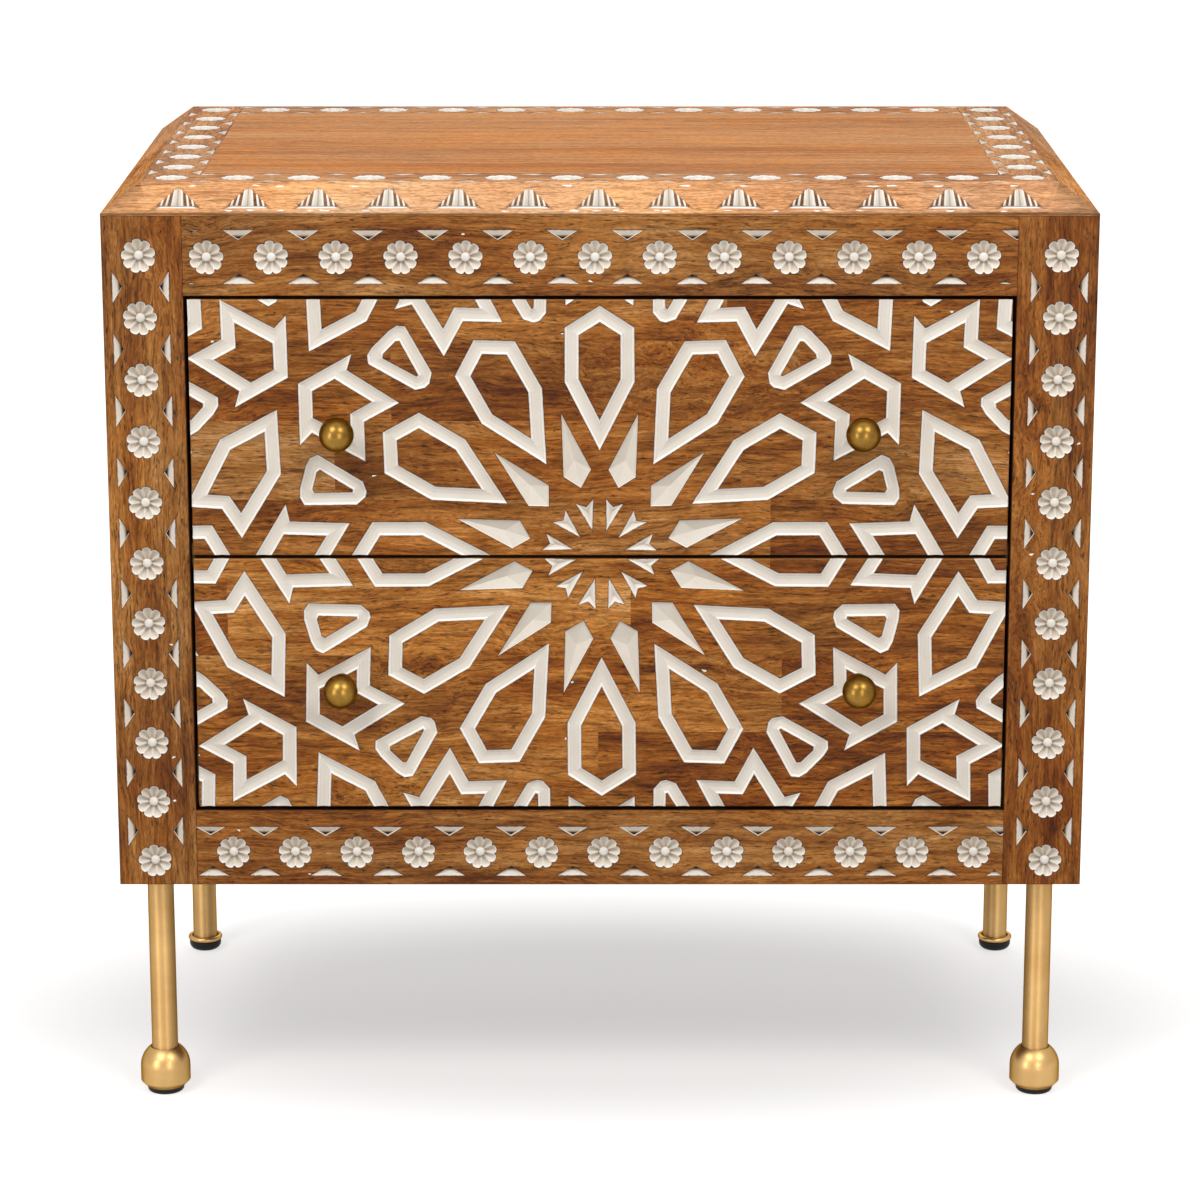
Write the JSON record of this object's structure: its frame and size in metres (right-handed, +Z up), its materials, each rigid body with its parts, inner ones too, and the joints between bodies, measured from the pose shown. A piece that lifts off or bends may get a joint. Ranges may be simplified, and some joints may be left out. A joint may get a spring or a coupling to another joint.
{
  "type": "carved two-drawer chest",
  "caption": "Low wooden chest of drawers with star-carved fronts, rosette-carved frame and top, ball knobs and round metal legs.",
  "frame": {"origin": "under the middle of the whole object, knobs included, at the level that the feet stand on", "axes": "+Z up; the drawer fronts face -Y; +X to the right for a person facing the front"},
  "size_m": [0.8, 0.518, 0.78],
  "materials": {
    "carved_wood": "waxed mango wood with whitened carving",
    "drawer_front_wood": "waxed mango wood with whitened carving",
    "top_panel_wood": "waxed light mango wood",
    "case_wood": "waxed mango wood",
    "inner_wood": "plain planed wood",
    "plywood": "plain plywood",
    "satin_brass": "satin",
    "aged_brass": "aged",
    "steel": "zinc plated",
    "rubber": "matt"
  },
  "bodies": {
    "cabinet": {"back_panel": "plywood", "bottom_panel": "inner_wood", "divider_rail": "inner_wood", "drawer_stops": "inner_wood", "foot_collar_rear_left": "satin_brass", "foot_collar_rear_right": "satin_brass", "foot_cup_front_left": "satin_brass", "foot_cup_front_right": "satin_brass", "foot_pad_front_left": "rubber", "foot_pad_front_right": "rubber", "foot_pad_rear_left": "rubber", "foot_pad_rear_right": "rubber", "front_rail_bottom": "carved_wood", "front_rail_top": "carved_wood", "front_stile_left": "carved_wood", "front_stile_right": "carved_wood", "leg_plate_front_left": "steel", "leg_plate_front_right": "steel", "leg_plate_rear_left": "steel", "leg_plate_rear_right": "steel", "leg_plate_screws": "steel", "leg_tube_front_left": "satin_brass", "leg_tube_front_right": "satin_brass", "leg_tube_rear_left": "satin_brass", "leg_tube_rear_right": "satin_brass", "lower_runner_left": "inner_wood", "lower_runner_right": "inner_wood", "rear_top_rail": "inner_wood", "runner_screws": "steel", "side_panel_left": "case_wood", "side_panel_right": "case_wood", "top_border_back": "carved_wood", "top_border_front": "carved_wood", "top_border_left": "carved_wood", "top_border_right": "carved_wood", "top_panel": "top_panel_wood", "upper_runner_left": "inner_wood", "upper_runner_right": "inner_wood"},
    "lower_drawer": {"lower_drawer_back": "inner_wood", "lower_drawer_bottom": "plywood", "lower_drawer_front": "drawer_front_wood", "lower_drawer_side_left": "inner_wood", "lower_drawer_side_right": "inner_wood", "lower_knob_left": "aged_brass", "lower_knob_right": "aged_brass", "lower_knob_screws": "steel"},
    "upper_drawer": {"upper_drawer_back": "inner_wood", "upper_drawer_bottom": "plywood", "upper_drawer_front": "drawer_front_wood", "upper_drawer_side_left": "inner_wood", "upper_drawer_side_right": "inner_wood", "upper_knob_left": "aged_brass", "upper_knob_right": "aged_brass", "upper_knob_screws": "steel"}
  },
  "joints": [
    {"name": "lower_drawer_slide", "type": "slide", "parent": "cabinet", "child": "lower_drawer", "axis": [0, -1, 0], "range_m": [0, 0.3]},
    {"name": "upper_drawer_slide", "type": "slide", "parent": "cabinet", "child": "upper_drawer", "axis": [0, -1, 0], "range_m": [0, 0.3]}
  ]
}
